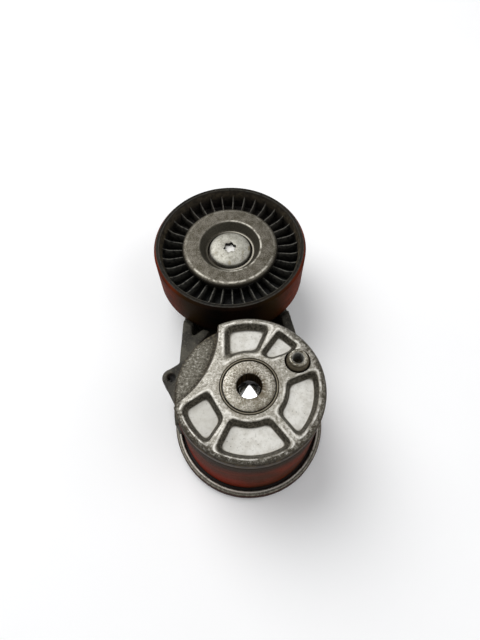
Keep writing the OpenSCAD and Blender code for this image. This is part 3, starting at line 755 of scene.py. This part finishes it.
def swage_ring():
    """Thin ring between the tube's flange and the plate."""
    low, high = span("swage_ring")
    clearance = 0.15
    inner, outer = 11.2, high[0] - clearance
    profile = rounded([
        (inner, low[2]), (inner, high[2], 0.2), (outer, high[2], 0.25), (outer, low[2]),
    ])
    return lathe(profile).build("swage_ring_turned", "base", "machined_steel", "swage_ring")


def threaded_sleeve():
    """Sleeve with a threaded bore and a collar that flares out in the plate's well."""
    low, high = span("threaded_sleeve")
    bottom, top = low[2], high[2]
    outer, bore, collar = 3.8, SLEEVE_BORE, 4.75
    shoulder, flare, collar_depth = top - 3.2, 1.3, 3.2
    pitch, thread, per_turn, lead_in = 0.8, 0.38, 8, 0.5
    angles = directions(64)
    rings = []
    for k in range(int((top - bottom - 2 * lead_in) / pitch * per_turn) + 1):
        z = bottom + lead_in + k * pitch / per_turn
        phase = (z / pitch - angles / (2 * math.pi)) % 1
        rings.append(ring_at(angles, bore + thread * (1 - np.abs(2 * phase - 1)), z, SLEEVE))
    outside = rounded([
        (bore + 0.75, top - 0.25, 0.1), (bore + 1.0, top, 0.1), (outer, top, 0.45),
        (outer, shoulder + flare, 0.5), (collar, shoulder, 0.6), (collar, shoulder - collar_depth),
        (outer, shoulder - collar_depth), (outer, bottom, 0.3), (bore + 0.6, bottom, 0.1),
    ])
    rings += [ring_at(angles, r, z, SLEEVE) for r, z in outside]
    shape = Shape().rings(rings)
    return shape.build("threaded_sleeve_turned", "base", "sleeve_steel", "threaded_sleeve")


# ---------------------------------------------------------------- pulley

def pulley():
    """Moulding with 35 ribs on each side of its web and a fine groove round its rim."""
    low, high = span("pulley")
    inset = 0.01                              # keeps the round belt face inside the CAD's box
    foot, top, radius = low[2], high[2], (high[0] - low[0]) / 2 - inset
    rim, hub, seat = radius - 3, 22.6, 20.0
    web_low, web_high = 31.0, 34.0
    hub_low, hub_high = 23.4, 38.5
    groove, chamfer = 0.3, 1.5
    profile = rounded([
        (seat, hub_low), (seat, hub_high), (hub, hub_high, 0.5), (hub + 0.2, web_high, 0.8),
        (rim - 1.0, web_high, 0.8), (rim - 0.6, top - 3.3, 0.4), (rim, top - 0.3, 0.2),
        (rim + 0.25, top, 0.1), (rim + 0.6, top, 0.08), (rim + 0.75, top - groove, 0.1),
        (rim + 1.35, top - groove, 0.1), (rim + 1.5, top, 0.08), (rim + 1.9, top, 0.15),
        (radius, top - chamfer, 0.3), (radius, foot + 0.6, 0.3), (radius - 0.6, foot, 0.3),
        (rim, foot, 0.4), (rim - 0.4, web_low, 0.8), (hub + 0.2, web_low, 0.8),
        (hub, hub_low, 0.5),
    ])
    shape = lathe(profile, PULLEY, 216)
    rim_wear, wear_depth = 0.45, 0.25
    shape.marks = [min(max((z - top + groove) / wear_depth, 0), 1) * rim_wear
                   for _, _, z in shape.points]
    count, first = 35, math.radians(4.2)
    front = {"rim": rim - 0.7, "web": web_high, "root": hub_high - 0.5, "crest": 39.8,
             "end": top - 3.2}
    back = {"rim": rim, "web": web_low, "root": hub_low + 0.5, "crest": foot + 5,
            "end": foot + 1.2}
    for angle in first + directions(count):
        add_rib(shape, angle, 1, hub, **front)
        add_rib(shape, angle, -1, hub, **back)
    return shape.build("pulley_moulding", "pulley", "pulley_polymer", "pulley", sharp=35)


def add_rib(shape, angle, side, hub, rim, web, root, crest, end):
    """One radial fin on the web's front (side 1) or back (side -1).

    Its free edge climbs from root to crest beside the hub, runs level, and then sweeps to the
    height end at the rim. It sinks a little into the hub, the web and the rim.
    """
    out = np.array([math.cos(angle), math.sin(angle)])
    across = np.array([-out[1], out[0]])
    thick, foot_thick = 0.75, 1.15
    sunk, shoulder = side * 0.5, side * 0.3
    knee, steps, curl = rim - 4.2, 7, 1.9
    edge = [(hub - 0.4, root), (hub + 0.5, (root + crest) / 2), (hub + 1.1, crest),
            (rim - 8, crest), (knee, crest)]
    for k in range(1, steps + 1):
        share = k / steps
        edge.append((knee + share * (rim + 0.3 - knee), crest + (end - crest) * share ** curl))
    loops, marks = [], []
    for reach, z in edge:
        section = (
            (-foot_thick / 2, web - sunk), (-thick / 2, z - shoulder), (-thick / 4, z),
            (thick / 4, z), (thick / 2, z - shoulder), (foot_thick / 2, web - sunk),
        )
        loops.append([(*(PULLEY + out * reach + across * s), h) for s, h in section])
        marks.append([0, 0.55, 1, 1, 0.55, 0] if side > 0 else [0] * len(section))
    indices = [shape.add(loop, mark) for loop, mark in zip(loops, marks)]
    for one, two in zip(indices, indices[1:]):
        shape.bridge(*((one, two) if side > 0 else (two, one)))
    shape.faces.append(tuple(indices[0][::-side]))
    shape.faces.append(tuple(indices[-1][::side]))


def dust_cap():
    """Pressed cap with a recess, a well with a thin lip, and a short skirt."""
    low, high = span("dust_cap")
    top, seat, radius = high[2], low[2], (high[0] - low[0]) / 2
    thick, hole = 1.4, 5.2
    lip_width, lip = 1.0, top - 4.3
    skirt, skirt_depth = radius - 1.2, 2.2
    profile = rounded([
        (hole, seat), (CAP_WELL + thick, seat, 0.6), (CAP_WELL + thick, lip - thick, 0.4),
        (CAP_RECESS + 0.8, top - thick, 0.8), (skirt - 0.7, top - thick, 0.4),
        (skirt, top - skirt_depth), (radius, top - skirt_depth, 0.15), (radius, top, 1.75),
        (CAP_RECESS, top, 0.9), (CAP_WELL + lip_width, lip, 0.2), (CAP_WELL, lip, 0.25),
        (CAP_WELL, seat + thick, 0.3), (hole, seat + thick),
    ], steps=6)
    shape = lathe(profile, PULLEY, 192)
    return shape.build("dust_cap_pressing", "arm", "pressed_steel", "dust_cap")


def pulley_bolt():
    """Domed bolt with a six-lobed recess and a plain shank."""
    low, high = span("pulley_bolt")
    bottom, top, radius = low[2], high[2], (high[0] - low[0]) / 2
    edge, crown, shank, point = 3.0, 2.0, 4.95, 0.8
    seat, drive_floor = top - crown - edge, top - 2.2
    angles = directions(144)
    turned_by = angles - math.radians(14)
    lobes = 2.74 + 0.38 * np.cos(6 * turned_by) + 0.04 * np.cos(12 * turned_by)

    def ring(reach, z):
        return ring_at(angles, reach, z, PULLEY)

    def crown_z(reach):
        return top - crown + crown * (1 - (reach / radius) ** 2.4) ** 0.42

    rings = [
        [(*PULLEY, drive_floor)], ring(lobes * 0.8, drive_floor), ring(lobes * 0.97, drive_floor),
        ring(lobes, drive_floor + 0.1), ring(lobes, top - 0.6), ring(lobes + 0.06, top - 0.3),
        ring(lobes + 0.25, crown_z(3.1) - 0.05),
    ]
    marks = [-1.0, -1.0, -0.8, 1.0, 1.0, 0.7, 0.1]
    for reach in (3.9, 4.6, 5.4, 6.2, 7.0, 7.7, 8.3, 8.8, 9.2, 9.5, 9.75, 9.95, 10.1, 10.2, 10.27):
        rings.append(ring(reach, crown_z(reach)))
    rings += [
        ring(radius, top - crown), ring(radius, seat + 0.2), ring(radius - 0.2, seat),
        ring(shank, seat), ring(shank, bottom + point), ring(shank - point, bottom),
        [(*PULLEY, bottom)],
    ]
    marks += [0.0] * (len(rings) - len(marks))
    shape = Shape().rings(rings, marks, closed=False)
    return shape.build("pulley_bolt_head", "arm", "bolt_steel", "pulley_bolt", sharp=50)


# ---------------------------------------------------------------- stage

def floor():
    """White ground just under the mounting face."""
    size, drop = 1.2, 0.0002
    mesh = bpy.data.meshes.new("floor")
    corners = [(-size, -size, 0), (size, -size, 0), (size, size, 0), (-size, size, 0)]
    mesh.from_pydata(corners, [], [(0, 1, 2, 3)])
    obj = bpy.data.objects.new("floor", mesh)
    bpy.context.scene.collection.objects.link(obj)
    f = Finish("floor", roughness=0.9, specular=0.1)
    f.colour(f.mix(f.noise(60), "#fbfbfb", "#ffffff"))
    obj.data.materials.append(f.material)
    obj.location.z = -drop


def bore_glow():
    """A glowing oval inside the tube's foot: painted light seen through the bore and as a painted reflection in
    its polished wall.
    """
    middle, spread, height, glow = (-0.3, -0.4), (2.95, 4.7), 11.9, 50.0
    points = [Vector((middle[0] + spread[0] * math.cos(a), middle[1] + spread[1] * math.sin(a), 0))
              for a in directions(40)]
    mesh = bpy.data.meshes.new("bore_glow")
    mesh.from_pydata([p * MM for p in points], [], [tuple(range(len(points)))])
    obj = bpy.data.objects.new("bore_glow", mesh)
    bpy.context.scene.collection.objects.link(obj)
    material = bpy.data.materials.new("bore_glow")
    material.use_nodes = True
    shader = material.node_tree.nodes["Principled BSDF"]
    shader.inputs["Emission Color"].default_value = (1, 1, 1, 1)
    shader.inputs["Emission Strength"].default_value = glow
    mesh.materials.append(material)
    obj.location.z = height * MM


def area_light(name, place, aim, size, power):
    """A round white light at place, turned to aim."""
    data = bpy.data.lights.new(name, "AREA")
    data.shape = "DISK"
    data.size = size
    data.energy = power
    obj = bpy.data.objects.new(name, data)
    obj.location = place
    obj.rotation_mode = "QUATERNION"
    obj.rotation_quaternion = (Vector(aim) - Vector(place)).to_track_quat("-Z", "Y")
    bpy.context.scene.collection.objects.link(obj)


def studio():
    """One large key light from the upper left, a weak fill and an even sky."""
    middle = (0, 0.03, 0.03)
    area_light("key", (-0.42, 0.45, 0.85), middle, 0.9, 8.2)
    area_light("fill", (0.7, -0.2, 0.75), middle, 0.9, 2.6)
    world = bpy.data.worlds.new("studio")
    world.use_nodes = True
    background = world.node_tree.nodes["Background"]
    background.inputs["Color"].default_value = (0.95, 0.96, 0.98, 1)
    background.inputs["Strength"].default_value = 0.4
    bpy.context.scene.world = world
    bpy.context.scene.view_settings.view_transform = "Standard"


def camera():
    """Looks down at the tensioner from in front of the drum."""
    pitch, roll = math.radians(61.99), math.radians(-1.34)
    place, lens, sensor = (-0.0031, -0.0639, 0.2305), 26.0, 36.0
    forward = Vector((0, math.cos(pitch), -math.sin(pitch)))
    level, lift = Vector((1, 0, 0)), Vector((0, math.sin(pitch), math.cos(pitch)))
    right = level * math.cos(roll) + lift * math.sin(roll)
    up = lift * math.cos(roll) - level * math.sin(roll)
    data = bpy.data.cameras.new("camera")
    data.lens = lens
    data.sensor_width = sensor
    data.clip_start = 0.01
    obj = bpy.data.objects.new("camera", data)
    turn = Matrix((right, up, -forward)).transposed()
    obj.matrix_world = Matrix.Translation(place) @ turn.to_4x4()
    bpy.context.scene.collection.objects.link(obj)
    bpy.context.scene.camera = obj


# ---------------------------------------------------------------- assembly

def finish_cad_nodes():
    """Gives each CAD node its finish, and a fine bevel where it is still shown."""
    width, corner = 0.15 * MM, math.radians(40)
    for name, obj in frame["nodes"].items():
        obj.data.materials.clear()
        obj.data.materials.append(FINISHES[SLOTS[name]])
        if not obj.hide_render:
            edge = obj.modifiers.new("edge", "BEVEL")
            edge.width = width
            edge.segments = 2
            edge.limit_method = "ANGLE"
            edge.angle_limit = corner


front_plate()
cast_copy("arm", "arm_casting", "arm", voxel=0.55, smooth=5, keep=0.45)
pivot_tube()
swage_ring()
threaded_sleeve()
pulley()
dust_cap()
pulley_bolt()
finish_cad_nodes()
floor()
bore_glow()
studio()
camera()
